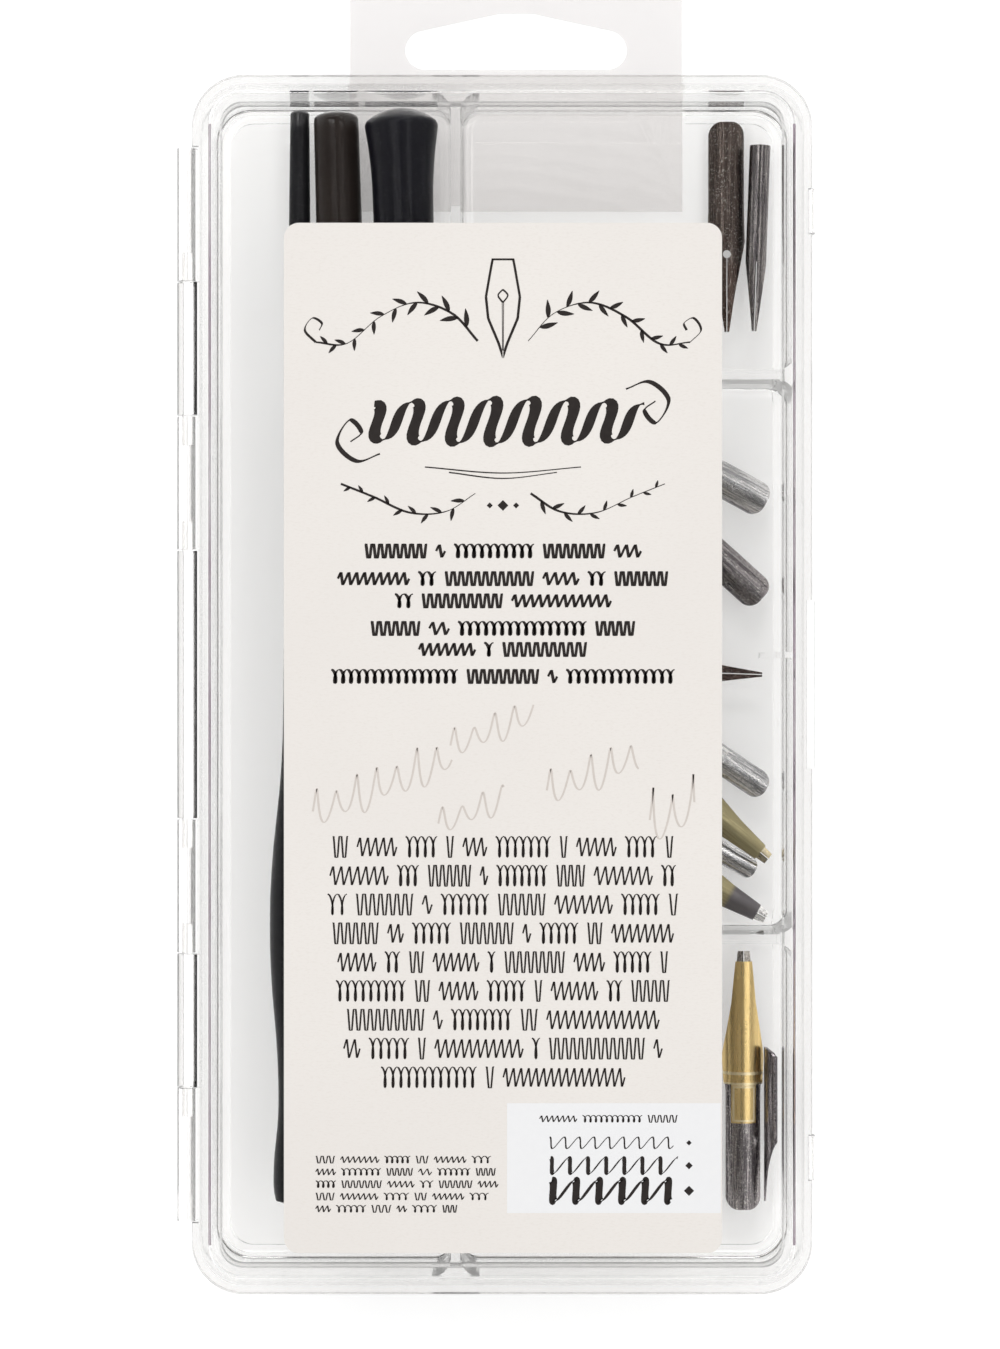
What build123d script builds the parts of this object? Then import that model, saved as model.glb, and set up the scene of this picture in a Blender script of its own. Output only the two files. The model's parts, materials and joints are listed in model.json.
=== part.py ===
from build123d import *
from math import cos, hypot, radians, sin, tan
import os

# A clear hinged case with three pen holders and a dozen pen nibs lying in its bays. Millimetres.
# Origin: centre of the case on the face it rests on. +Z is up, +Y is the long way towards the
# hang tab, the hinge runs along the -X side and the latches are on the +X side.

# Case shell
case_width = 104.0  # across the two flanges
case_length = 204.4
case_height = 24.0
parting_height = 19.5  # where base and lid meet
parting_gap = 0.05
flange_overhang = 1.1  # how far base flange and lid brim stand out past the base wall
flange_thickness = 1.4
flange_corner_radius = 8.7
base_wall = 1.6
base_draft = 1.0  # degrees
floor_thickness = 1.6
foot_height = 0.5
foot_width = 2.2
foot_inset = 1.2  # from the foot of the wall to the foot rim

# Bays and dividers of the base
divider_thickness = 1.6
holder_bay_width = 40.7
upper_divider_y = 52.1
lower_bay_length = 55.9
bay_corner_radius = 3.2
floor_fillet = 2.0
rib_y = 5.0
rib_reach = 4.8
rib_thickness = 1.0
rib_top_drop = 0.6  # below the lid's lip

# Lid
lid_panel = 1.5
lid_wall = 1.9
lip_depth = 2.0  # how far the lid reaches down inside the base
lip_clearance = 0.25
lip_floor_gap = 0.3
lid_edge_radius = 0.8

# Hinge: moulded knuckles, with pins on the lid's knuckles
hinge_unit = 22.54
hinge_units = 8
knuckle_radius = 1.7
hinge_reach = 2.6  # how far the knuckles stand out past the flange
pin_radius = 0.85
pin_clearance = 0.07
pin_length = 5.0
knuckle_gap = 0.3
base_knuckles = [(0, 1), (2, 1), (5, 1), (7, 1)]  # first unit, number of units
lid_knuckles = [(1, 1), (3, 2), (6, 1)]

# Latch side
latch_width = 7.4
latch_y = 79.5
latch_thickness = 1.0
latch_standout = 0.6
latch_drop = 2.2  # below the parting plane
latch_gap = 0.15
thumb_lip_length = 28.4
thumb_lip_standout = 0.45
thumb_recess = 0.8

# Label on the lid
label_hinge_room = 11.9  # from the rounded edges of the lid's top
label_latch_room = 11.6
label_front_room = 3.7
label_tab_room = 21.5
label_thickness = 0.14
label_corner_radius = 2.5

# Hang tab under the base
tab_width = 57.8
tab_x = 2.45
tab_thickness = 0.3
tab_glued_length = 20.0
tab_standout = 24.0
tab_corner_radius = 5.0
tab_rim_gap = 0.6
hang_hole_span = 38.6
hang_hole_height = 9.8
hang_hole_end_radius = 3.45
hang_hole_peak_radius = 2.4
hang_hole_peak_half = 2.6
hang_hole_offset = 4.8  # from the end of the case to the hole

# Pen holders, each turned: (distance from the front end, radius) of the bead at the mouth, the
# waist behind it, the belly that the fingers hold and the neck behind the belly, then the tail
rest_gap = 0.25  # what lies in a bay clears its floor by this
slim_turns = [(3.8, 4.3), (16.8, 3.47), (47.0, 5.0), (84.0, 2.75)]
slim_mouth_radius = 3.9
slim_tail_radius = 1.65
slim_tail_crown = 0.0
slim_tail_round = 0.3
slim_front_room = 10.8  # from the wall behind the mouth
slim_tail_lift = 0.75  # its thin tail lies on the fillet of the end wall
tapered_turns = [(3.5, 4.35), (15.0, 3.8), (44.0, 4.9), (70.0, 4.5)]
tapered_mouth_radius = 4.05
tapered_tail_radius = 3.85
tapered_tail_crown = 1.1
tapered_tail_round = 0.9
tapered_front_room = 20.0
flared_turns = [(3.5, 4.4), (15.0, 3.9), (42.0, 4.9), (66.0, 4.3)]
flared_mouth_radius = 4.1
flared_tail_radius = 6.4
flared_tail_crown = 2.6
flared_tail_round = 1.4
flared_front_room = 23.0
flare_length = 16.0  # the last stretch, where the tail widens
flare_waist_radius = 5.2
tail_wall_gap = 0.5  # from a holder's tail to the end wall
slim_front_x = 26.3  # axes of the holders, from the long divider
slim_tail_x = 26.3
tapered_front_x = 14.85
tapered_tail_x = 20.0
flared_front_x = 4.95
flared_tail_x = 8.7
mouth_flare_at = 0.9  # where the mouth is half way out to the bead
socket_wall = 0.7  # barrel plastic round the socket, at the waist
socket_clearance = 0.05
socket_depth = 13.0
ferrule_wall = 0.3
ferrule_lip = 0.35
ferrule_length = 12.0
ferrule_slots = 4
ferrule_slot_width = 0.5
ferrule_slot_length = 8.0
clamp_slot = 0.55  # room for a nib between ferrule and clamp
clamp_length = 10.0
clamp_collar = 2.0
clamp_bore_radius = 0.9

# Nibs. Each is cut from thin sheet and pressed to a round back, and lies with its edges down.
# Stations give its outline from above: (share of its length from the base, share of its half width).
nib_sheet = 0.28
nib_slit = 0.14
nib_gap = 0.1  # from the bay floor
nib_roundness = 0.22  # how far its edges are above the centre of its round back, in half widths
vent_radius = 0.7
vent_at = 0.63
base_round = 2.1
base_flat = 0.8  # what stays straight between the rounded corners of the base
broad_stations = [(0, 0.88), (0.45, 0.88), (0.59, 1.0), (0.8, 0.55), (1.0, 0.3)]
pointed_stations = [(0, 0.93), (0.42, 0.93), (0.56, 1.0), (0.78, 0.5), (0.86, 0.35), (1.0, 0.12)]
quill_stations = [(0, 1.0), (0.62, 1.0), (0.81, 0.61), (1.0, 0.22)]
quill_radius = 1.8
quill_length = 32.2
quill_tube_length = 17.0  # the rest is cut to an open half tube

# Where the nibs lie. Sizes are (length, half width). Places are of the base end: how far from the
# latch side of the bay's flat floor, and from its end (minus: towards the front). Headings of the
# tips are in degrees from +X.
broad_sizes = [(35.0, 3.4), (38.0, 3.4), (27.0, 2.8), (40.0, 3.4), (38.0, 3.4), (44.7, 3.4)]
broad_places = [(1.4, -17.7), (2.0, -34.1), (1.4, 21.5), (31.7, 35.3), (34.4, 18.45), (5.3, -44.9)]
broad_headings = [151.4, 138.0, 146.0, -40.0, -30.0, 90.0]
pointed_sizes = [(36.3, 3.3), (37.0, 3.2), (33.0, 2.1), (34.0, 3.3)]
pointed_places = [(8.2, -0.1), (39.1, 42.7), (3.25, 7.35), (35.0, -40.0)]
pointed_headings = [-90.0, -2.0, 150.0, 65.0]
side_nib_size = (26.5, 2.6)
side_nib_place = (-0.3, -16.8)  # it stands on one edge, its crown towards the broad nib beside it
quill_place = (2.4, -4.2)
quill_heading = -92.1

# Reservoirs on the broad nibs, measured from the nib's base
reservoir_sheet = 0.2
reservoir_gap = 0.05
reservoir_overhang = 0.25  # past the nib's edges
ridge_sheet = 0.38
ridge_band = 0.65  # each of the two raised bands at the back of the cover
pad_margin = 0.3  # of plate left round the raised pad
pad_bevel = 0.14
reservoir_bare_tip = 1.8
reservoir_cover_start = 0.535  # shares of the nib's length
reservoir_ridge_start = 0.485
reservoir_plate_start = 0.335
reservoir_plate_width = 4.3

# Worked out from the sizes above
half_width = case_width / 2
half_length = case_length / 2
wall_x = half_width - flange_overhang  # outer face of the base wall, at the parting plane
wall_y = half_length - flange_overhang
inner_x = wall_x - base_wall
inner_y = wall_y - base_wall
wall_corner = flange_corner_radius - flange_overhang
inner_corner = wall_corner - base_wall
panel_bottom = foot_height
floor_top = panel_bottom + floor_thickness
base_top = parting_height - parting_gap
brim_bottom = parting_height + parting_gap
lip_bottom = parting_height - lip_depth
groove_bottom = lip_bottom - lip_floor_gap
crown_x = inner_x - lip_clearance
crown_y = inner_y - lip_clearance
crown_corner = inner_corner - lip_clearance
hollow_x = crown_x - lid_wall
hollow_y = crown_y - lid_wall
hollow_corner = crown_corner - lid_wall
groove_x = hollow_x - lip_floor_gap
groove_y = hollow_y - lip_floor_gap
hinge_x = -half_width - hinge_reach + knuckle_radius
hinge_start = -hinge_unit * hinge_units / 2
floor_shrink = (groove_bottom - floor_top) * tan(radians(base_draft))
divider_half = divider_thickness / 2
long_divider_x = -inner_x + holder_bay_width + divider_half
lower_divider_y = -inner_y + lower_bay_length + divider_half
divider_face_x = long_divider_x - divider_half
# where the flat floors of the bays end, inside the fillets
floor_edge = floor_shrink + floor_fillet
flat_x = inner_x - floor_edge
upper_bay_tab_end = inner_y - floor_edge
middle_bay_tab_end = upper_divider_y - divider_half - floor_edge
middle_bay_front = lower_divider_y + divider_half + floor_edge
lower_bay_tab_end = lower_divider_y - divider_half - floor_edge
broad_ends = [middle_bay_tab_end] * 2 + [middle_bay_front] * 3 + [lower_bay_tab_end]
pointed_ends = [upper_bay_tab_end, middle_bay_front, middle_bay_front, lower_bay_tab_end]

os.makedirs("parts", exist_ok=True)


def save(builder, node):
    builder.part.label = node
    export_step(builder.part, f"parts/{node}.step")


def at_case_corner(corner):
    return abs(abs(corner.X) - inner_x) < 0.01 and abs(abs(corner.Y) - inner_y) < 0.01


def bay_block(x_low, x_high, y_low, y_high):
    # The space of one bay, up to the parting plane: drafted and filleted below the lip groove,
    # straight above it. Corners against the case's own corners are round like the case.
    with BuildPart() as bay:
        with BuildSketch(Plane.XY.offset(groove_bottom)) as outline:
            with Locations(((x_low + x_high) / 2, (y_low + y_high) / 2)):
                Rectangle(x_high - x_low, y_high - y_low)
            small = [corner for corner in outline.vertices() if not at_case_corner(corner)]
            fillet(small, bay_corner_radius)
            fillet([corner for corner in outline.vertices() if at_case_corner(corner)], inner_corner)
        extrude(outline.sketch, amount=floor_top - groove_bottom, taper=base_draft)
        fillet(bay.faces().sort_by(Axis.Z)[0].edges(), floor_fillet)
        extrude(outline.sketch, amount=base_top - groove_bottom)
    return bay.part


def knuckle_span(unit, count):
    # Low and high Y of a knuckle that covers count hinge units, less its running gap.
    low = hinge_start + unit * hinge_unit + knuckle_gap / 2
    return low, low + count * hinge_unit - knuckle_gap


def knuckle_barrel(unit, count, arm_low, arm_high):
    # A round barrel on the hinge axis and the arm that joins it to its half of the case.
    low, high = knuckle_span(unit, count)
    arm_end = -wall_x + base_wall / 2
    with BuildPart() as barrel:
        with BuildSketch(Plane.XZ.offset(-high)):
            with Locations((hinge_x, parting_height)):
                Circle(knuckle_radius)
        extrude(amount=high - low)
        with BuildSketch(Plane.XZ.offset(-high)):
            with Locations(((hinge_x + arm_end) / 2, (arm_low + arm_high) / 2)):
                Rectangle(arm_end - hinge_x, arm_high - arm_low)
        extrude(amount=high - low)
    return barrel.part


nib_bays_x = long_divider_x + divider_half
bays = [
    (-inner_x, divider_face_x, -inner_y, inner_y),
    (nib_bays_x, inner_x, upper_divider_y + divider_half, inner_y),
    (nib_bays_x, inner_x, lower_divider_y + divider_half, upper_divider_y - divider_half),
    (nib_bays_x, inner_x, -inner_y, lower_divider_y - divider_half),
]
bay_blocks = [bay_block(*bay) for bay in bays]
base_barrels = [
    knuckle_barrel(unit, count, parting_height - knuckle_radius, base_top)
    for unit, count in base_knuckles
]
lid_barrels = [
    knuckle_barrel(unit, count, brim_bottom, parting_height + knuckle_radius)
    for unit, count in lid_knuckles
]

# Base tray
with BuildPart() as base_tray:
    # outer shell, drafted towards the bottom
    with BuildSketch(Plane.XY.offset(base_top)):
        RectangleRounded(2 * wall_x, 2 * wall_y, wall_corner)
    extrude(amount=panel_bottom - base_top, taper=base_draft)
    # flange round the rim
    with BuildSketch(Plane.XY.offset(base_top - flange_thickness)):
        RectangleRounded(case_width, case_length, flange_corner_radius)
        for unit, count in lid_knuckles:
            low, high = knuckle_span(unit, count)
            with Locations((-half_width, (low + high) / 2)):
                Rectangle(2 * flange_overhang, high - low + 2 * knuckle_gap, mode=Mode.SUBTRACT)
        for side in (-1, 1):
            with Locations((half_width, side * latch_y)):
                notch = latch_thickness - latch_standout + latch_gap
                Rectangle(2 * notch, latch_width + 2 * latch_gap, mode=Mode.SUBTRACT)
        with Locations((half_width, 0)):
            Rectangle(2 * thumb_recess, thumb_lip_length, mode=Mode.SUBTRACT)
    extrude(amount=flange_thickness)
    # bays
    for bay in bay_blocks:
        add(bay, mode=Mode.SUBTRACT)
    # groove for the lid's lip through the ends of the dividers
    with BuildSketch(Plane.XY.offset(groove_bottom)):
        RectangleRounded(2 * inner_x, 2 * inner_y, inner_corner)
        RectangleRounded(2 * groove_x, 2 * groove_y, hollow_corner - lip_floor_gap, mode=Mode.SUBTRACT)
    extrude(amount=base_top - groove_bottom, mode=Mode.SUBTRACT)
    # short stiffening rib on the latch-side wall
    with BuildSketch(Plane.XY.offset(panel_bottom + floor_thickness / 2)):
        with Locations((inner_x - rib_reach / 2 + base_wall / 4, rib_y)):
            Rectangle(rib_reach + base_wall / 2, rib_thickness)
    extrude(amount=groove_bottom - rib_top_drop - panel_bottom - floor_thickness / 2)
    # foot rim, broken where the hang tab passes
    foot_x = wall_x - floor_shrink - foot_inset
    foot_y = wall_y - floor_shrink - foot_inset
    with BuildSketch(Plane.XY):
        RectangleRounded(2 * foot_x, 2 * foot_y, wall_corner - foot_inset)
        RectangleRounded(
            2 * (foot_x - foot_width),
            2 * (foot_y - foot_width),
            wall_corner - foot_inset - foot_width,
            mode=Mode.SUBTRACT,
        )
        with Locations((tab_x, foot_y)):
            Rectangle(tab_width + 2 * tab_rim_gap, 4 * foot_width, mode=Mode.SUBTRACT)
    extrude(amount=foot_height)
    # hinge knuckles and their bores
    for barrel in base_barrels:
        add(barrel)
    for unit, count in base_knuckles:
        low, high = knuckle_span(unit, count)
        with BuildSketch(Plane.XZ.offset(-high)):
            with Locations((hinge_x, parting_height)):
                Circle(pin_radius + pin_clearance)
        extrude(amount=high - low, mode=Mode.SUBTRACT)
save(base_tray, "base_tray")

# Lid
with BuildPart() as lid:
    # crown and locating lip, one straight wall
    with BuildSketch(Plane.XY.offset(lip_bottom)):
        RectangleRounded(2 * crown_x, 2 * crown_y, crown_corner)
    extrude(amount=case_height - lip_bottom)
    fillet(lid.faces().sort_by(Axis.Z)[-1].edges(), lid_edge_radius)
    # brim that rests on the base's flange
    with BuildSketch(Plane.XY.offset(brim_bottom)):
        RectangleRounded(case_width, case_length, flange_corner_radius)
        with Locations((half_width - thumb_lip_standout, 0)):
            RectangleRounded(4 * thumb_lip_standout, thumb_lip_length, thumb_lip_standout)
        for unit, count in base_knuckles:
            low, high = knuckle_span(unit, count)
            with Locations((-half_width, (low + high) / 2)):
                Rectangle(2 * flange_overhang, high - low + 2 * knuckle_gap, mode=Mode.SUBTRACT)
    extrude(amount=flange_thickness)
    # hollow inside
    with BuildSketch(Plane.XY.offset(lip_bottom)):
        RectangleRounded(2 * hollow_x, 2 * hollow_y, hollow_corner)
    extrude(amount=case_height - lid_panel - lip_bottom, mode=Mode.SUBTRACT)
    # latch tabs that come down over the base's flange
    latch_inner = half_width + latch_standout - latch_thickness
    for side in (-1, 1):
        with BuildSketch(Plane.XZ.offset(-side * latch_y - latch_width / 2)):
            with BuildLine():
                Polyline(
                    (latch_inner, parting_height - latch_drop),
                    (latch_inner + latch_thickness / 2, parting_height - latch_drop),
                    (half_width + latch_standout, parting_height - latch_drop + latch_thickness),
                    (half_width + latch_standout, brim_bottom + flange_thickness / 2),
                    (half_width, brim_bottom + flange_thickness),
                    (latch_inner, brim_bottom + flange_thickness),
                    close=True,
                )
            make_face()
        extrude(amount=latch_width)
    # hinge knuckles with a pin at each end
    for barrel in lid_barrels:
        add(barrel)
    for unit, count in lid_knuckles:
        low, high = knuckle_span(unit, count)
        with BuildSketch(Plane.XZ.offset(-high - pin_length)):
            with Locations((hinge_x, parting_height)):
                Circle(pin_radius)
        extrude(amount=high - low + 2 * pin_length)
save(lid, "lid")

# Label
top_x = crown_x - lid_edge_radius
top_y = crown_y - lid_edge_radius
label_width = 2 * top_x - label_hinge_room - label_latch_room
label_length = 2 * top_y - label_front_room - label_tab_room
label_x = (label_hinge_room - label_latch_room) / 2
label_y = (label_front_room - label_tab_room) / 2
with BuildPart() as label:
    with BuildSketch(Plane.XY.offset(case_height)):
        with Locations((label_x, label_y)):
            RectangleRounded(label_width, label_length, label_corner_radius)
    extrude(amount=label_thickness)
save(label, "label")

# Hang tab: a film strip glued under the floor, with a hanging hole that has a raised middle
tab_low = half_length - tab_glued_length
tab_high = half_length + tab_standout
hole_low = half_length + hang_hole_offset
hole_end = hang_hole_span / 2 - hang_hole_end_radius
with BuildPart() as hang_tab:
    with BuildSketch(Plane.XY.offset(foot_height - tab_thickness)) as tab_outline:
        with Locations((tab_x, (tab_low + tab_high) / 2)):
            Rectangle(tab_width, tab_high - tab_low)
        fillet(tab_outline.vertices().group_by(Axis.Y)[-1], tab_corner_radius)
        with BuildSketch(mode=Mode.PRIVATE) as hole:
            with Locations(
                (tab_x - hole_end, hole_low + hang_hole_end_radius),
                (tab_x + hole_end, hole_low + hang_hole_end_radius),
            ):
                Circle(hang_hole_end_radius)
            peak_y = hole_low + hang_hole_height - hang_hole_peak_radius
            with Locations((tab_x - hang_hole_peak_half, peak_y), (tab_x + hang_hole_peak_half, peak_y)):
                Circle(hang_hole_peak_radius)
            make_hull()
        add(hole.sketch, mode=Mode.SUBTRACT)
    extrude(amount=tab_thickness)
save(hang_tab, "hang_tab")


def lying_plane(front_x, front_y, tail_x, tail_y, front_rest, tail_rest, tail_lift=0.0):
    # The plane of a turned piece that lies on the bay floor: its local X runs along the axis from
    # the front end to the tail, its local Y points up. Each rest is the distance from the front
    # end and the radius where the piece touches down; tail_lift is for a tail on the floor's fillet.
    run = Vector(tail_x - front_x, tail_y - front_y, 0).normalized()
    (near, near_radius), (far, far_radius) = front_rest, tail_rest
    slope = (far_radius + tail_lift - near_radius) / (far - near)
    front_height = floor_top + rest_gap + near_radius - slope * near
    axis = Vector(run.X, run.Y, slope).normalized()
    across = axis.cross(Vector(0, 0, 1))
    return Plane(origin=(front_x, front_y, front_height), x_dir=axis, z_dir=across)


def ogee(start, end):
    # Two tangent arcs from one turning place of a profile to the next, level at both ends.
    middle = ((start[0] + end[0]) / 2, (start[1] + end[1]) / 2)
    first = TangentArc(start, middle, tangent=(1, 0))
    return TangentArc(first @ 1, end, tangent=first % 1)


def make_holder(name, plane, turns, length, mouth_radius, tail_radius, tail_crown, tail_round, flare=()):
    bead, waist, belly, neck = turns
    socket = waist[1] - socket_wall
    mouth = (0, mouth_radius)
    mouth_bulge = (mouth_flare_at, (mouth_radius + bead[1]) / 2)
    shoulder = (length - tail_crown, tail_radius)
    with BuildPart() as body:
        with BuildSketch(plane) as profile:
            with BuildLine():
                ThreePointArc(mouth, mouth_bulge, bead)
                ogee(bead, waist)
                ogee(waist, belly)
                ogee(belly, neck)
                if flare:
                    Line(neck, flare)
                    TangentArc(flare, shoulder, tangent=(1, 0))
                else:
                    Line(neck, shoulder)
                if tail_crown:
                    TangentArc((length, 0), shoulder, tangent=(0, 1))
                else:
                    Line((length, 0), shoulder)
                Polyline((length, 0), (socket_depth, 0), (socket_depth, socket), (0, socket), mouth)
            make_face()
            rim = profile.vertices().sort_by_distance(Vector(*shoulder))[0]
            if tail_crown:
                fillet(rim, tail_round)
            else:
                chamfer(rim, tail_round)
        revolve(axis=Axis(plane.origin, plane.x_dir))
    save(body, name)

    # Ferrule: a thin slotted sleeve in the socket, with a lip over its mouth
    outer = socket - socket_clearance
    inner = outer - ferrule_wall
    mouth_plane = Plane(plane.origin - plane.x_dir * ferrule_lip * 2, x_dir=plane.y_dir, z_dir=plane.x_dir)
    with BuildPart() as ferrule:
        with BuildSketch(plane):
            with BuildLine():
                Polyline(
                    (-ferrule_lip, inner),
                    (-ferrule_lip, outer + ferrule_lip),
                    (-socket_clearance, outer + ferrule_lip),
                    (-socket_clearance, outer),
                    (ferrule_length, outer),
                    (ferrule_length, inner),
                    close=True,
                )
            make_face()
        revolve(axis=Axis(plane.origin, plane.x_dir))
        with BuildSketch(mouth_plane):
            for turn in range(ferrule_slots // 2):
                Rectangle(4 * outer, ferrule_slot_width, rotation=turn * 180 / (ferrule_slots / 2) + 45)
        extrude(amount=ferrule_slot_length, mode=Mode.SUBTRACT)
    save(ferrule, name + "_ferrule")

    # Clamp: a spring core with a collar that seats in the ferrule's far end
    core = inner - clamp_slot
    clamp_start = ferrule_length - clamp_length
    with BuildPart() as clamp:
        with BuildSketch(plane):
            with BuildLine():
                Polyline(
                    (clamp_start, clamp_bore_radius),
                    (clamp_start, core),
                    (ferrule_length - clamp_collar, core),
                    (ferrule_length - clamp_collar, inner - socket_clearance),
                    (ferrule_length, inner - socket_clearance),
                    (ferrule_length, clamp_bore_radius),
                    close=True,
                )
            make_face()
        revolve(axis=Axis(plane.origin, plane.x_dir))
        with BuildSketch(mouth_plane):
            Rectangle(4 * outer, ferrule_slot_width)
        extrude(amount=ferrule_length - clamp_collar + 2 * ferrule_lip, mode=Mode.SUBTRACT)
    save(clamp, name + "_clamp")


# Where each holder's axis runs, front end first. The tails stand near the wall at the tab end.
bay_end = inner_y - floor_shrink
tail_y = bay_end - tail_wall_gap
slim_length = tail_y + bay_end - slim_front_room
slim_plane = lying_plane(
    divider_face_x - slim_front_x,
    tail_y - slim_length,
    divider_face_x - slim_tail_x,
    tail_y,
    slim_turns[2],
    (slim_length, slim_tail_radius),
    slim_tail_lift,
)
make_holder(
    "slim_holder",
    slim_plane,
    slim_turns,
    slim_length,
    slim_mouth_radius,
    slim_tail_radius,
    slim_tail_crown,
    slim_tail_round,
)
tapered_length = tail_y + bay_end - tapered_front_room
tapered_plane = lying_plane(
    divider_face_x - tapered_front_x,
    tail_y - tapered_length,
    divider_face_x - tapered_tail_x,
    tail_y,
    tapered_turns[2],
    (tapered_length - tapered_tail_crown, tapered_tail_radius),
)
make_holder(
    "tapered_holder",
    tapered_plane,
    tapered_turns,
    tapered_length,
    tapered_mouth_radius,
    tapered_tail_radius,
    tapered_tail_crown,
    tapered_tail_round,
)
flared_length = tail_y + bay_end - flared_front_room
flared_plane = lying_plane(
    divider_face_x - flared_front_x,
    tail_y - flared_length,
    divider_face_x - flared_tail_x,
    tail_y,
    flared_turns[2],
    (flared_length - flared_tail_crown, flared_tail_radius),
)
make_holder(
    "flared_holder",
    flared_plane,
    flared_turns,
    flared_length,
    flared_mouth_radius,
    flared_tail_radius,
    flared_tail_crown,
    flared_tail_round,
    (flared_length - flare_length, flare_waist_radius),
)


def back_radius(half_width):
    # Radius of the round back of a nib whose edges stand this far from its middle.
    return hypot(half_width, nib_roundness * half_width)


def lying_nib(place, bay_end, heading):
    # The plane a nib lies on: local X runs from its base end to its tip, local Z points up.
    run = (cos(radians(heading)), sin(radians(heading)), 0)
    origin = (flat_x - place[0], bay_end + place[1], floor_top + nib_gap)
    return Plane(origin=origin, x_dir=run, z_dir=(0, 0, 1))


def outline_points(size, stations, overhang=0.0):
    # The outline from above, up one side from the base and back along the other.
    length, half_width = size
    near = [(share * length, half * half_width + overhang) for share, half in stations]
    return near + [(along, -half) for along, half in reversed(near)]


def nib_outline(size, stations):
    # The flat outline with its rounded base, its vent and its slit.
    length, half_width = size
    base_half = stations[0][1] * half_width
    with BuildSketch() as outline:
        Polygon(*outline_points(size, stations), align=None)
        fillet(outline.vertices().group_by(Axis.X)[0], min(base_round, base_half - base_flat / 2))
        with Locations((length * vent_at, 0)):
            Circle(vent_radius, mode=Mode.SUBTRACT)
        with Locations((length * (1 + vent_at) / 2, 0)):
            Rectangle(length * (1 - vent_at) + nib_slit, nib_slit, mode=Mode.SUBTRACT)
    return outline.sketch


def round_sheet(lay, centre_drop, inner_radius, outer_radius, start, end):
    # A round-backed length of sheet, lying along the plane's local X, its centre below the plane.
    with BuildPart() as sheet:
        ends = Plane(lay.origin - lay.z_dir * centre_drop, x_dir=lay.y_dir, z_dir=lay.x_dir)
        with BuildSketch(ends.offset(start)):
            Circle(outer_radius)
            Circle(inner_radius, mode=Mode.SUBTRACT)
        extrude(amount=end - start)
    return sheet.part


def make_nib(name, lay, size, stations):
    # Round-backed sheet, cut to the outline.
    length, half_width = size
    outer = back_radius(half_width)
    with BuildPart() as nib:
        add(round_sheet(lay, nib_roundness * half_width, outer - nib_sheet, outer, 0, length))
        with BuildSketch(lay):
            add(nib_outline(size, stations))
        extrude(amount=outer, mode=Mode.INTERSECT)
    save(nib, name)


def make_pad(lay, drop, inner, start, end):
    # The raised, bevelled pad on a reservoir's plate.
    with BuildPart() as pad:
        add(round_sheet(lay, drop, inner, inner + ridge_sheet, start + pad_margin, end - pad_margin))
        with BuildSketch(lay):
            with Locations(((start + end) / 2, 0)):
                Rectangle(end - start, reservoir_plate_width - 2 * pad_margin)
        extrude(amount=inner + ridge_sheet, mode=Mode.INTERSECT)
        chamfer(pad.faces().sort_by(SortBy.AREA)[-1].edges(), pad_bevel)
    return pad.part


def make_reservoir(name, lay, size, stations):
    # A brass cover that follows the nib from its belly to just short of the tip, with two raised
    # bands across its back end and a narrow plate with a pad behind them.
    length, half_width = size
    drop = nib_roundness * half_width
    inner = back_radius(half_width) + reservoir_gap
    cover_end = length - reservoir_bare_tip
    cover_start = length * reservoir_cover_start
    ridge_start = length * reservoir_ridge_start
    plate_start = length * reservoir_plate_start
    with BuildPart() as reservoir:
        add(round_sheet(lay, drop, inner, inner + reservoir_sheet, plate_start, cover_end))
        for start in (ridge_start, cover_start - ridge_band):
            add(round_sheet(lay, drop, inner, inner + ridge_sheet, start, start + ridge_band))
        with BuildSketch(lay):
            Polygon(*outline_points(size, stations, reservoir_overhang), align=None)
            with Locations((ridge_start / 2, 0)):
                Rectangle(ridge_start, 2 * inner, mode=Mode.SUBTRACT)
            with Locations(((plate_start + ridge_start) / 2, 0)):
                Rectangle(ridge_start - plate_start, reservoir_plate_width)
        extrude(amount=inner + ridge_sheet, mode=Mode.INTERSECT)
        add(make_pad(lay, drop, inner, plate_start, ridge_start))
    save(reservoir, name)


for number in range(len(broad_sizes)):
    size = broad_sizes[number]
    lay = lying_nib(broad_places[number], broad_ends[number], broad_headings[number])
    make_nib(f"broad_nib_{number + 1}", lay, size, broad_stations)
    make_reservoir(f"reservoir_{number + 1}", lay, size, broad_stations)

pointed_names = ["pointed_nib_1", "pointed_nib_2", "pointed_nib_3", "pointed_nib_5"]
for name, size, place, bay_end, heading in zip(
    pointed_names, pointed_sizes, pointed_places, pointed_ends, pointed_headings
):
    make_nib(name, lying_nib(place, bay_end, heading), size, pointed_stations)

# One pointed nib stands on its edge beside the last broad nib
side_nib_lay = Plane(
    origin=(
        flat_x - side_nib_place[0],
        lower_bay_tab_end + side_nib_place[1],
        floor_top + nib_gap + side_nib_size[1],
    ),
    x_dir=(0, -1, 0),
    z_dir=(-1, 0, 0),
)
make_nib("pointed_nib_4", side_nib_lay, side_nib_size, pointed_stations)

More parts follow.
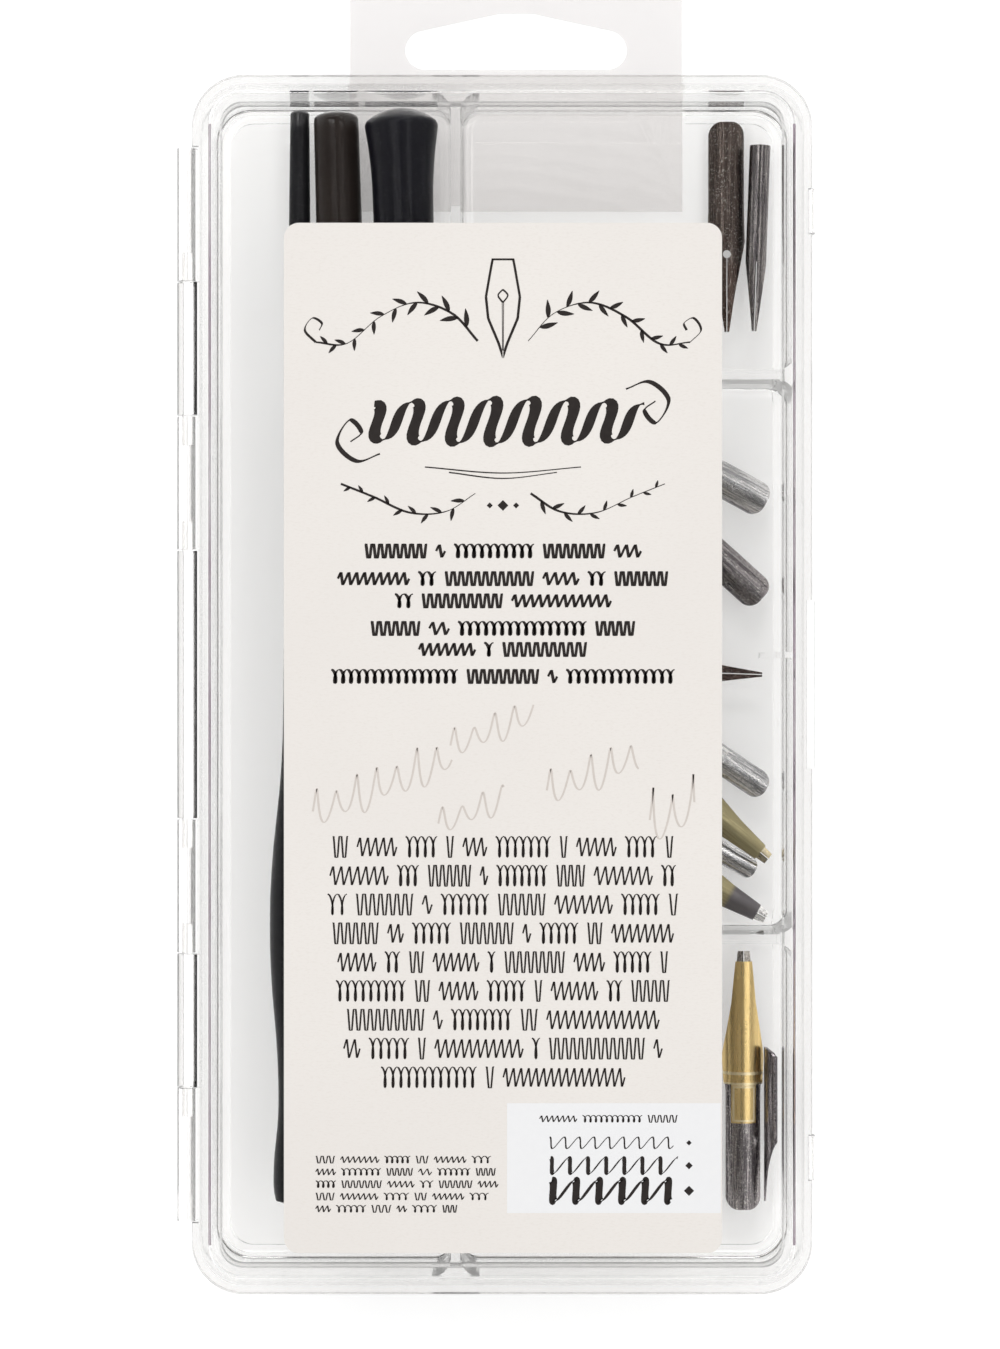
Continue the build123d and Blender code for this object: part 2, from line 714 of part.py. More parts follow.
# Crow-quill nib: a closed tube whose front half is cut to a long point
quill_size = (quill_length, quill_radius)
quill_lay = lying_nib(quill_place, upper_bay_tab_end, quill_heading).offset(quill_radius)
with BuildPart() as quill:
    add(round_sheet(quill_lay, 0, quill_radius - nib_sheet, quill_radius, 0, quill_length))
    with BuildSketch(quill_lay):
        Polygon(*outline_points(quill_size, quill_stations), align=None)
        with Locations((quill_length * (1 + vent_at) / 2, 0)):
            Rectangle(quill_length * (1 - vent_at) + nib_slit, nib_slit, mode=Mode.SUBTRACT)
    extrude(amount=quill_radius, both=True, mode=Mode.INTERSECT)
    with BuildSketch(quill_lay):
        with Locations(((quill_tube_length + quill_length) / 2, 0)):
            Rectangle(quill_length - quill_tube_length, 2 * quill_radius)
    extrude(amount=-quill_radius, mode=Mode.SUBTRACT)
save(quill, "crow_quill_nib")
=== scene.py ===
import json

import bpy
import numpy as np
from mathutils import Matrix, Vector


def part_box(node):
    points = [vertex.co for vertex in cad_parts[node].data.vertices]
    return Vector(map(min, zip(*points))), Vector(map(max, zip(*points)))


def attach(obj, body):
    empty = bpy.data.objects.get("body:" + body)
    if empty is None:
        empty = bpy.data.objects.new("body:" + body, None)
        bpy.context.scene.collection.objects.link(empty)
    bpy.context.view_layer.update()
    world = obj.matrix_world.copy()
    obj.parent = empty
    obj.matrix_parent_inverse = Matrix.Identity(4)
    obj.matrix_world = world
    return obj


# A clear hinged pen case with its holders, nibs and printed label. Metres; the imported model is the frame.
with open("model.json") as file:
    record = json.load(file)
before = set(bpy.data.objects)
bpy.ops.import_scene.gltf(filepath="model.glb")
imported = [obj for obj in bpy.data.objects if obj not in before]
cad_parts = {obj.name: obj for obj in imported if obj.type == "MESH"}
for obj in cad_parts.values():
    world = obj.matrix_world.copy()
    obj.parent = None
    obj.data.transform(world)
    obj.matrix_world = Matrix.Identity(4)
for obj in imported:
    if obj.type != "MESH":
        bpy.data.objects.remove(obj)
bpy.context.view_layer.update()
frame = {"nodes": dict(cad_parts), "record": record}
nodes = frame["nodes"]
mm = 0.001
print("stage: frame loaded,", len(nodes), "nodes")


class Socket:
    # Wraps an output socket or a number, so that shader maths reads as Python.
    def __init__(self, tree, value):
        self.tree = tree
        self.value = value

    def maths(self, operation, *others, clamp=False):
        node = self.tree.nodes.new("ShaderNodeMath")
        node.operation = operation
        node.use_clamp = clamp
        for place, item in enumerate((self,) + others):
            item = item.value if isinstance(item, Socket) else item
            if isinstance(item, (int, float)):
                node.inputs[place].default_value = item
            else:
                self.tree.links.new(item, node.inputs[place])
        return Socket(self.tree, node.outputs[0])

    def __add__(self, other):
        return self.maths("ADD", other)

    def __radd__(self, other):
        return self.maths("ADD", other)

    def __sub__(self, other):
        return self.maths("SUBTRACT", other)

    def __rsub__(self, other):
        return Socket(self.tree, other).maths("SUBTRACT", self)

    def __mul__(self, other):
        return self.maths("MULTIPLY", other)

    def __rmul__(self, other):
        return self.maths("MULTIPLY", other)

    def __truediv__(self, other):
        return self.maths("DIVIDE", other)

    def __gt__(self, other):
        return self.maths("GREATER_THAN", other)

    def __lt__(self, other):
        return self.maths("LESS_THAN", other)

    def __abs__(self):
        return self.maths("ABSOLUTE")

    def clamped(self):
        return self.maths("ADD", 0.0, clamp=True)

    def between(self, low, high):
        # 1 from low to high, 0 outside.
        return (self > low) * (self < high)

    def ramp(self, low, high):
        # 0 at low, 1 at high, straight between.
        return ((self - low) / (high - low)).clamped()


class Shader:
    # A node tree, emptied, with one shader and its output.
    def __init__(self, tree, outputKind, surfaceKind):
        self.tree = tree
        self.tree.nodes.clear()
        self.output = self.tree.nodes.new(outputKind)
        self.surface = self.tree.nodes.new(surfaceKind)
        self.tree.links.new(self.surface.outputs[0], self.output.inputs["Surface"])

    def node(self, kind, settings=None, out=0, **inputs):
        # Any node: its settings, then its sockets by name or, as i6, by number. An underscore is a space.
        made = self.tree.nodes.new(kind)
        for key, value in (settings or {}).items():
            setattr(made, key, value)
        for key, value in inputs.items():
            numbered = key[0] == "i" and key[1:].isdigit()
            self.link(made.inputs[int(key[1:]) if numbered else key.replace("_", " ")], value)
        return Socket(self.tree, made.outputs[out])

    def link(self, socket, value):
        value = value.value if isinstance(value, Socket) else value
        if isinstance(value, bpy.types.NodeSocket):
            self.tree.links.new(value, socket)
        elif socket.type == "RGBA" and len(value) == 3:
            socket.default_value = (*value, 1)
        else:
            socket.default_value = value

    def set(self, **inputs):
        # Values or links for the shader's own sockets.
        for key, value in inputs.items():
            self.link(self.surface.inputs[key.replace("_", " ")], value)

    def objectPoint(self):
        return self.node("ShaderNodeTexCoord", out="Object")

    def axes(self, point):
        parts = self.node("ShaderNodeSeparateXYZ", Vector=point)
        return [Socket(self.tree, out) for out in parts.value.node.outputs]

    def noise(self, point, scale, detail=3.0, roughness=0.5):
        return self.node(
            "ShaderNodeTexNoise", Vector=point, Scale=scale, Detail=detail, Roughness=roughness,
        )

    def mix(self, factor, first, second):
        # Colours: the first where the factor is 0, the second where it is 1.
        return self.node("ShaderNodeMix", {"data_type": "RGBA"}, out=2, Factor=factor, i6=first, i7=second)

    def stretch(self, point, scale, place=(0, 0, 0)):
        return self.node("ShaderNodeMapping", Vector=point, Location=place, Scale=scale)

    def ray(self, kind):
        return self.node("ShaderNodeLightPath", out=kind)

    def bump(self, height, strength, distance):
        self.set(Normal=self.node("ShaderNodeBump", Height=height, Strength=strength, Distance=distance))

    def blendWith(self, factor, through):
        # The surface gives way to a see-through shader as the factor goes from 0 to 1.
        own = Socket(self.tree, self.surface.outputs[0])
        both = self.node("ShaderNodeMixShader", i0=factor, i1=own, i2=through)
        self.link(self.output.inputs["Surface"], both)


def surfaceShader(name):
    # A new material with a Principled shader.
    material = bpy.data.materials.new(name)
    material.use_nodes = True
    shade = Shader(material.node_tree, "ShaderNodeOutputMaterial", "ShaderNodeBsdfPrincipled")
    shade.material = material
    return shade


def dress(nodeName, material):
    # The CAD node's mesh stays; every slot gets the material.
    mesh = nodes[nodeName].data
    if not mesh.materials:
        mesh.materials.append(material)
    for place in range(len(mesh.materials)):
        mesh.materials[place] = material


view = {"place": (-0.34 * mm, 1.68 * mm, 544 * mm), "lens": 83.26, "sensor": 36.0, "near": 10 * mm}

cameraData = bpy.data.cameras.new("camera")
cameraData.sensor_fit = "VERTICAL"
cameraData.sensor_height = view["sensor"]
cameraData.lens = view["lens"]
cameraData.clip_start = view["near"]
camera = bpy.data.objects.new("camera", cameraData)
camera.location = view["place"]
bpy.context.scene.collection.objects.link(camera)
bpy.context.scene.camera = camera

softboxes = {  # place, width and depth, watts
    "left": ((-0.42, 0.1, 0.95), (1.2, 0.35), 3.5),
    "right": ((0.42, -0.05, 0.95), (1.2, 0.35), 2.75),
    "far": ((0.08, 1.2, 0.95), (0.5, 0.3), 4.0),
    "near": ((-0.1, -1.2, 0.95), (0.9, 0.3), 1.45),
}


def softbox(name, place, size, watts):
    # A rectangular lamp turned towards the middle of the case, its width across the line to it.
    lamp = bpy.data.lights.new(name, "AREA")
    lamp.shape = "RECTANGLE"
    lamp.size, lamp.size_y = size
    lamp.energy = watts
    box = bpy.data.objects.new(name, lamp)
    box.location = place
    box.rotation_euler = (-Vector(place)).to_track_quat("-Z", "Y").to_euler()
    bpy.context.scene.collection.objects.link(box)


for name, (place, size, watts) in softboxes.items():
    softbox(name, place, size, watts)

dome = {"sides": 1.0, "top": 0.03, "from": 0.35, "to": 0.9}  # strength by height of direction
world = bpy.data.worlds.new("studio")
bpy.context.scene.world = world
world.use_nodes = True


def makeSky():
    # Bright at the sides and dim overhead, where the camera stands; white where it is seen directly.
    sky = Shader(world.node_tree, "ShaderNodeOutputWorld", "ShaderNodeBackground")
    height = sky.axes(sky.node("ShaderNodeTexCoord", out="Generated"))[2]
    rise = sky.node(
        "ShaderNodeMapRange", {"interpolation_type": "SMOOTHSTEP"}, Value=height, From_Min=dome["from"],
        From_Max=dome["to"], To_Min=dome["sides"], To_Max=dome["top"],
    )
    sky.set(Strength=rise + (1 - rise) * sky.ray("Is Camera Ray"), Color=(1, 1, 1))


makeSky()
bpy.context.scene.view_settings.view_transform = "Standard"

bounces = {"shadow": 40, "through": 24}  # a slanting ray crosses many clear walls before it ends
bpy.context.scene.cycles.transparent_max_bounces = bounces["shadow"]
bpy.context.scene.cycles.transmission_bounces = bounces["through"]
bpy.context.scene.cycles.max_bounces = bounces["through"]

floorCard = {
    "half": 2.5, "drop": 0.05 * mm, "colour": (0.76, 0.76, 0.76), "rough": 0.9, "tooth": 700.0,
    "glow": 0.4, "glowThrough": 0.48,  # seen directly, and seen through plastic
    "farGlow": 1.5, "farFrom": 0.3, "farTo": 1.1,  # how much more it glows away from the case
}

floorMesh = bpy.data.meshes.new("floor")
reach = floorCard["half"]
floorCorners = [(-reach, -reach, 0), (reach, -reach, 0), (reach, reach, 0), (-reach, reach, 0)]
floorMesh.from_pydata(floorCorners, [], [(0, 1, 2, 3)])
floorObject = bpy.data.objects.new("floor", floorMesh)
floorObject.location.z = -floorCard["drop"]
bpy.context.scene.collection.objects.link(floorObject)


def makeFloor(look):
    # White card with a faint tooth. Seen directly, mirrored or through plastic it glows a little, and
    # more where the lamps don't reach, so that it reads white under plain light and keeps its shadows.
    card = surfaceShader("floorCard")
    point = card.objectPoint()
    tooth = card.noise(point, look["tooth"])
    direct = card.ray("Is Camera Ray").maths("MAXIMUM", card.ray("Is Glossy Ray")) * look["glow"]
    glow = direct.maths("MAXIMUM", card.ray("Is Transmission Ray") * look["glowThrough"])
    far = card.node("ShaderNodeVectorMath", {"operation": "LENGTH"}, out="Value", Vector=point)
    glow = glow * (1 + look["farGlow"] * far.ramp(look["farFrom"], look["farTo"]))
    card.set(Base_Color=look["colour"], Roughness=look["rough"], Specular_IOR_Level=0.0)
    card.set(Emission_Color=card.mix(glow.clamped(), (0, 0, 0), (1, 1, 1)), Emission_Strength=1.0)
    card.bump(tooth, 0.05, 0.0001)
    floorMesh.materials.append(card.material)


makeFloor(floorCard)
print("stage: camera, light and floor")

casePlastic = {
    "tint": (0.993, 0.99, 0.985), "shadow": (0.985, 0.985, 0.984), "ior": 1.585,
    "rough": 0.02, "scuff": 0.03,
    "wallRough": 0.05, "wallReach": 5.6 * mm, "wallDrop": 2.4 * mm,  # side walls, in from the lid's edge
    "rim": (0.12, 0.08, 0.11), "rimAt": 48.8 * mm, "rimHalf": 0.3 * mm,  # painted shade: a dark line along its long sides
    "rimEnds": 93.5 * mm, "rimFrom": 23.0 * mm, "rimLeast": 0.55, "rimDrift": 0.8,
}


def clearPlastic(name, look, low, high):
    # Clear moulding with a faint waviness and fine rubbed scuffs. It is less polished in the side walls,
    # which lie out from the middle by more than half of the box less the wall's reach, and under the top
    # sheet, and has painted shade, a dark line, along two rims. Light passes it as its shadow does.
    middle = [(start + end) / 2 for start, end in zip(low, high)]
    half = [end - centre - look["wallReach"] for end, centre in zip(high, middle)]
    shade = surfaceShader(name)
    point = shade.objectPoint()
    waves = shade.noise(point, 60.0, detail=2.0)
    rubbed = shade.noise(shade.stretch(point, (1, 0.12, 1)), 2200.0, detail=2.0)
    patches = shade.noise(point, 40.0, detail=2.0)
    scuffs = (rubbed > 0.66) * (patches > 0.52)
    sideways, lengthways, rise = shade.axes(point)
    pastSide = abs(sideways - middle[0]) > half[0]
    pastEnd = abs(lengthways - middle[1]) > half[1]
    walls = pastSide.maths("MAXIMUM", pastEnd) * (rise < high[2] - look["wallDrop"])
    # Painted shade: a dark line along the top's two long rims, standing in for light piped away at the
    # edge.
    rims = (abs(abs(sideways) - look["rimAt"]) < look["rimHalf"]) * (abs(lengthways) < look["rimEnds"])
    paintedRimShade = (rims * (rise > look["rimFrom"]) * (patches * look["rimDrift"] + look["rimLeast"])).clamped()
    shade.set(Base_Color=shade.mix(paintedRimShade, look["tint"], look["rim"]))
    shade.set(IOR=look["ior"], Transmission_Weight=1.0)
    shade.set(Roughness=look["rough"] + look["scuff"] * scuffs + look["wallRough"] * walls)
    shade.bump(waves, 0.1, 0.0004)
    through = shade.node("ShaderNodeBsdfTransparent", Color=look["shadow"])
    passing = shade.ray("Is Shadow Ray").maths("MAXIMUM", shade.ray("Is Diffuse Ray"))
    shade.blendWith(passing, through)
    return shade.material


filmSheet = {
    "veil": (0.95, 0.95, 0.95), "through": (0.93, 0.923, 0.921), "ior": 1.5, "rough": 0.07, "uneven": 0.05,
}


def filmPlastic(name, look):
    # Film too thin to bend light: it lets light through and shines by Fresnel.
    shade = surfaceShader(name)
    waves = shade.noise(shade.objectPoint(), 45.0, detail=2.0)
    shade.set(Base_Color=look["veil"], Roughness=look["rough"] + look["uneven"] * waves, IOR=look["ior"])
    shade.bump(waves, 0.3, 0.0006)
    facing = shade.node("ShaderNodeFresnel", IOR=look["ior"])
    through = shade.node("ShaderNodeBsdfTransparent", Color=look["through"])
    shade.blendWith(1 - facing * (1 - shade.ray("Is Shadow Ray")), through)
    return shade.material


caseClear = clearPlastic("caseClear", casePlastic, *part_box("lid"))
dress("base_tray", caseClear)
dress("lid", caseClear)
dress("hang_tab", filmPlastic("filmClear", filmSheet))
print("stage: clear plastic")

barrels = {
    "slim_holder": {
        "colour": (0.005, 0.005, 0.006), "accent": (0.011, 0.01, 0.014), "streaks": 0.5, "seed": 1,
    },
    "tapered_holder": {
        "colour": (0.011, 0.007, 0.006), "accent": (0.027, 0.019, 0.015), "streaks": 1.0, "seed": 5,
    },
    "flared_holder": {
        "colour": (0.003, 0.003, 0.006), "accent": (0.008, 0.007, 0.013), "streaks": 0.3, "seed": 9,
    },
}
barrelFinish = {
    "rough": 0.26, "wipes": 0.16, "dust": (0.12, 0.12, 0.12), "dustShare": 0.2, "dustRough": 0.1,
    "coat": 0.06, "polishFrom": 3.4 * mm, "polishTo": 1.6 * mm,  # from its tail end
}


def barrelPlastic(name, look, finish, tail):
    # Turned and polished plastic: soft lengthwise streaks of colour, fine wipe marks and dust specks,
    # and a brighter polish on the last millimetres of its tail.
    shade = surfaceShader(name)
    point = shade.objectPoint()
    along = shade.axes(point)[1]
    drift = shade.noise(shade.stretch(point, (1, 0.2, 1), place=(look["seed"], 0, 0)), 420.0, detail=3.0)
    wipes = shade.noise(shade.stretch(point, (900, 22, 900)), 1.0)
    specks = shade.noise(point, 2600.0, detail=1.0) > 0.7
    tone = shade.mix((drift * look["streaks"]).clamped(), look["colour"], look["accent"])
    shade.set(Base_Color=shade.mix(specks * finish["dustShare"], tone, finish["dust"]))
    shade.set(Roughness=finish["rough"] + finish["wipes"] * wipes + finish["dustRough"] * specks)
    polished = along.ramp(tail - finish["polishFrom"], tail - finish["polishTo"])
    shade.set(Coat_Weight=finish["coat"] + (1 - finish["coat"]) * polished)
    shade.set(IOR=1.5, Specular_IOR_Level=0.12, Coat_Roughness=0.05)
    shade.bump(wipes * 0.5 + drift * 0.5, 0.1, 0.0002)
    return shade.material


for holder, look in barrels.items():
    dress(holder, barrelPlastic(holder + "Barrel", look, barrelFinish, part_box(holder)[1][1]))

ferruleLook = {"dull": (0.5, 0.5, 0.51), "bright": (0.74, 0.74, 0.74), "rough": 0.14, "ringRough": 0.16}


def ferruleSteel(name, look):
    # Drawn and rolled steel: fine rings of tool marks round it and a cloudy polish.
    shade = surfaceShader(name)
    point = shade.objectPoint()
    rings = shade.noise(shade.stretch(point, (30, 3800, 30)), 1.0)
    cloud = shade.noise(point, 260.0, detail=5.0)
    shade.set(Base_Color=shade.mix(cloud, look["dull"], look["bright"]), Metallic=1.0)
    shade.set(Roughness=look["rough"] + look["ringRough"] * rings)
    shade.bump(rings, 0.3, 0.00008)
    return shade.material


ferruleSheet = ferruleSteel("ferruleSheet", ferruleLook)
for part in frame["record"]["subparts"]:
    if part["node"].endswith(("_ferrule", "_clamp")):
        dress(part["node"], ferruleSheet)
print("stage: pen holders")

nibLies = {  # base point in millimetres, heading in degrees
    "broad_nib_1": (45.64, 31.34, 151.4),
    "broad_nib_2": (45.04, 14.94, 138),
    "broad_nib_3": (45.64, -18.24, 146),
    "broad_nib_4": (15.34, -4.44, -40),
    "broad_nib_5": (12.64, -21.29, -30),
    "broad_nib_6": (41.74, -90.76, 90),
    "pointed_nib_1": (38.84, 97.14, -90),
    "pointed_nib_2": (7.94, 2.96, -2),
    "pointed_nib_3": (43.79, -32.39, 150),
    "pointed_nib_4": (47.34, -62.66, -90),
    "pointed_nib_5": (12.04, -85.86, 65),
    "crow_quill_nib": (44.64, 93.04, -92.1),
}
stamping = {  # millimetres, apart from shares of the nib's length
    "rowMiddle": 0.25, "rowApart": 0.55, "rowHalf": 0.17,
    "dashes": 1.35, "dashShare": 0.72, "dashShade": 0.5,
    "glint": (0.9, 0.87, 0.82), "tempered": 0.8,
    "padHalf": 1.78, "padAt": 0.41, "padReach": 2.9, "padLine": 0.16,
    "ridges": (0.486, 0.527), "ridgeHalf": 0.0055, "highlightRough": 0.1,
}
brightNib = {
    "colour": (0.93, 0.92, 0.91), "streak": (0.36, 0.36, 0.37), "rough": 0.08, "matt": 0.16,
    "grain": 0.9, "speck": 0.4, "pit": 0.7, "marks": (2.5, 12.0), "tip": 99.0, "tipColour": (0.8, 0.8, 0.8),
}
darkNib = dict(brightNib, colour=(0.4, 0.37, 0.37), streak=(0.1, 0.09, 0.095), rough=0.18, speck=0.6)
nibLooks = {
    "broad_nib_1": brightNib,
    "broad_nib_2": dict(darkNib, grain=1.2),
    "broad_nib_3": dict(brightNib, marks=(2.0, 14.0), grain=1.1, speck=0.5),
    "broad_nib_4": dict(brightNib, tip=37.5, tipColour=(0.55, 0.47, 0.3)),
    "broad_nib_5": dict(darkNib, tip=35.2, tipColour=(0.85, 0.84, 0.82), marks=(2.0, 10.0)),
    "broad_nib_6": dict(darkNib, tip=40.0, tipColour=(0.4, 0.37, 0.34), marks=(3.0, 12.5), rough=0.22),
    "pointed_nib_1": dict(
        darkNib, colour=(0.12, 0.094, 0.082), streak=(0.05, 0.038, 0.033), speck=0.3, grain=1.3, rough=0.24,
        marks=(5.0, 21.0), tip=24.0, tipColour=(0.085, 0.06, 0.05),
    ),
    "pointed_nib_2": dict(
        darkNib, colour=(0.12, 0.08, 0.07), streak=(0.05, 0.035, 0.032), speck=0.2, rough=0.22,
    ),
    "pointed_nib_3": dict(brightNib, marks=(2.0, 15.0), grain=0.6),
    "pointed_nib_4": dict(darkNib, colour=(0.5, 0.46, 0.48), grain=0.4, speck=0.1),
    "pointed_nib_5": darkNib,
    "crow_quill_nib": dict(
        darkNib, colour=(0.3, 0.28, 0.27), marks=(3.0, 10.0), grain=0.4, speck=0.15, rough=0.12,
    ),
}


def paintedHighlightLines(along, across, look):
    # Painted highlights on a cover: the rim of its pad, which is where the greater of the distances
    # past the pad's two half sizes is near nothing, and its two ridges.
    pastSide = abs(across) - stamping["padHalf"]
    pastEnd = abs(along - stamping["padAt"] * look["length"]) - stamping["padReach"]
    rim = abs(pastSide.maths("MAXIMUM", pastEnd)) < stamping["padLine"]
    share = along / look["length"]
    low, high = (abs(share - ridge) < stamping["ridgeHalf"] for ridge in stamping["ridges"])
    return rim.maths("MAXIMUM", low.maths("MAXIMUM", high)) * look["highlightShare"]


def nibSheet(name, lie, look):
    # Pressed sheet in the nib's own millimetres, along from its base and across its middle line: drawn
    # streaks, a pebbled grain with bright specks and dark pits, two rows of stamped dashes and a
    # tempered tip. A cover has painted highlight lines as well.
    shade = surfaceShader(name)
    own = shade.node(
        "ShaderNodeMapping", {"vector_type": "TEXTURE"}, Vector=shade.objectPoint(), Scale=(mm, mm, mm),
        Location=(lie[0] * mm, lie[1] * mm, 0), Rotation=(0, 0, np.radians(lie[2])),
    )
    along, across = shade.axes(own)[:2]
    streaks = shade.noise(shade.stretch(own, (0.14, 3.0, 3.0)), 1.0, detail=4.0)
    pebbles = shade.noise(own, 2.8, detail=3.0, roughness=0.7)
    specks = pebbles.ramp(0.58, 0.64) * look["speck"]
    pits = pebbles.ramp(0.44, 0.38) * look["pit"]
    rows = abs(abs(across - stamping["rowMiddle"]) - stamping["rowApart"]) < stamping["rowHalf"]
    beat = (along * stamping["dashes"]).maths("FRACT") + pebbles * 0.5
    stamped = rows * along.between(*look["marks"]) * (beat < stamping["dashShare"])
    body = shade.mix(streaks.ramp(0.38, 0.62), look["streak"], look["colour"])
    tempered = along.ramp(look["tip"], look["tip"] + stamping["tempered"])
    tipped = shade.mix(tempered, body, look["tipColour"])
    pitted = shade.mix(pits.maths("MAXIMUM", stamped * stamping["dashShade"]), tipped, look["streak"])
    colour = shade.mix(specks, pitted, stamping["glint"])
    rough = look["rough"] + look["matt"] * streaks.ramp(0.6, 0.4) + 0.1 * stamped
    if "highlightShare" in look:
        # Painted highlights on the cover's pad rim and ridges.
        rubbed = paintedHighlightLines(along, across, look)
        colour = shade.mix(rubbed, colour, look["highlightColour"])
        rough = rough + rubbed * stamping["highlightRough"]
    shade.set(Base_Color=colour, Roughness=rough, Metallic=1.0)
    shade.bump(pebbles * look["grain"] - stamped * 2.0, 0.6, 0.0001)
    return shade.material


for nib, look in nibLooks.items():
    dress(nib, nibSheet(nib + "Sheet", nibLies[nib], look))

# Covers use the nibs' sheet, with painted highlight lines on the rim of the pad and on the ridges.
nickelCover = dict(
    brightNib, colour=(0.8, 0.79, 0.77), streak=(0.5, 0.5, 0.5), marks=(16.0, 20.0), rough=0.14,
    highlightShare=0.6, highlightColour=(0.95, 0.95, 0.94),
)
brassCover = dict(
    nickelCover, colour=(0.4, 0.35, 0.2), streak=(0.3, 0.26, 0.145), highlightColour=(0.6, 0.53, 0.33),
    marks=(22.0, 25.0), rough=0.34, matt=0.1, grain=0.25, speck=0.03, pit=0.1,
)
goldCover = dict(
    brassCover, colour=(0.88, 0.66, 0.3), streak=(0.85, 0.63, 0.28), highlightColour=(1.0, 0.88, 0.6),
    marks=(25.4, 32.6), rough=0.27, matt=0.02, grain=0.12, highlightShare=0.85,
)
shortCover = dict(brassCover, tip=30.3, tipColour=(0.15, 0.14, 0.145))  # its end is as dark as the nib's
covers = {  # the cover's look, and its nib's length in millimetres
    1: (nickelCover, 35.0), 2: (nickelCover, 38.0), 3: (nickelCover, 27.0), 4: (brassCover, 40.0),
    5: (shortCover, 38.0), 6: (goldCover, 44.7),
}
for number, (look, length) in covers.items():
    lie = nibLies[f"broad_nib_{number}"]
    dress(f"reservoir_{number}", nibSheet(f"reservoir{number}Sheet", lie, dict(look, length=length)))
print("stage: nibs and their covers")

paper = {
    "cream": (0.838, 0.799, 0.761), "warm": (0.87, 0.832, 0.79), "fibre": (0.8, 0.755, 0.71), "rough": 0.6,
}
inks = {  # colour, uneven colour, roughness
    "darkInk": ((0.018, 0.014, 0.013), (0.034, 0.028, 0.026), 0.42),
    "paleInk": ((0.62, 0.565, 0.52), (0.72, 0.665, 0.62), 0.55),
    "whiteInk": ((0.87, 0.87, 0.88), (0.9, 0.9, 0.905), 0.5),
}
inkLift = {"labelPanel": 0.012 * mm, "labelLoops": 0.016 * mm, "labelInk": 0.026 * mm}
inkDepth = 0.01 * mm


def labelPaper(look):
    # Uncoated card: a cloudy cream with fine fibres lying mostly one way.
    shade = surfaceShader("labelPaper")
    point = shade.objectPoint()
    fibres = shade.noise(shade.stretch(point, (1, 2.5, 1)), 1500.0, detail=4.0)
    cloud = shade.noise(point, 22.0)
    tone = shade.mix(cloud.ramp(0.35, 0.75), look["cream"], look["warm"])
    shade.set(Base_Color=shade.mix(fibres.ramp(0.5, 0.9), tone, look["fibre"]), Specular_IOR_Level=0.3)
    shade.set(Roughness=look["rough"] + 0.1 * fibres)
    shade.bump(fibres, 0.1, 0.0001)
    return shade.material


def printedInk(name, colour, uneven, rough):
    # Printed ink: a little uneven, with the card's tooth under it.
    shade = surfaceShader(name)
    patches = shade.noise(shade.objectPoint(), 900.0)
    shade.set(Base_Color=shade.mix(patches, colour, uneven), Roughness=rough + 0.15 * patches)
    shade.set(Specular_IOR_Level=0.15)
    shade.bump(patches, 0.08, 0.00005)
    return shade.material


dress("label", labelPaper(paper))
labelLow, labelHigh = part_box("label")
labelMiddle = (labelLow[0] + labelHigh[0]) / 2

labelBack = {
    "inset": 0.08 * mm, "corner": 2.4 * mm, "sink": 0.03 * mm, "thick": 0.02 * mm,
    "colour": (0.74, 0.7, 0.65), "blotch": (0.8, 0.76, 0.71), "rough": 0.5, "uneven": 0.2,
}


def gummedPaper(look):
    # The label's back: blotched where the gum has wetted it.
    shade = surfaceShader("gummedPaper")
    blotches = shade.noise(shade.objectPoint(), 120.0, detail=5.0)
    shade.set(Base_Color=shade.mix(blotches, look["colour"], look["blotch"]))
    shade.set(Roughness=look["rough"] + look["uneven"] * blotches)
    shade.bump(blotches, 0.1, 0.0001)
    return shade.material


def makeLabelBack(look):
    # The gummed back, seen through the lid: a rounded rectangle whose corner points are a corner's
    # centre plus the radius times the cosine and sine of a quarter turn.
    turn = np.linspace(0, np.pi / 2, 13)
    reach = np.array([labelHigh[0] - labelLow[0], labelHigh[1] - labelLow[1]]) / 2 - look["inset"]
    middle = np.array([labelMiddle, (labelLow[1] + labelHigh[1]) / 2])
    corners = []
    for quarter, towards in enumerate(((1, 1), (-1, 1), (-1, -1), (1, -1))):
        centre = middle + (reach - look["corner"]) * towards
        angle = turn + quarter * np.pi / 2
        corners.append(centre + look["corner"] * np.stack([np.cos(angle), np.sin(angle)], axis=1))
    rim = np.concatenate(corners)
    count = len(rim)
    top = labelLow[2] - look["sink"]
    high = np.column_stack([rim, np.full(count, top)])
    low = np.column_stack([rim, np.full(count, top - look["thick"])])
    first = np.arange(count)
    after = (first + 1) % count
    sides = np.stack([first + count, after + count, after, first], axis=1).tolist()
    faces = [first.tolist(), (first + count)[::-1].tolist()] + sides
    mesh = bpy.data.meshes.new("labelBack")
    mesh.from_pydata(np.vstack([high, low]).tolist(), [], faces)
    mesh.materials.append(gummedPaper(look))
    back = bpy.data.objects.new("labelBack", mesh)
    bpy.context.scene.collection.objects.link(back)
    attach(back, "lid")


makeLabelBack(labelBack)


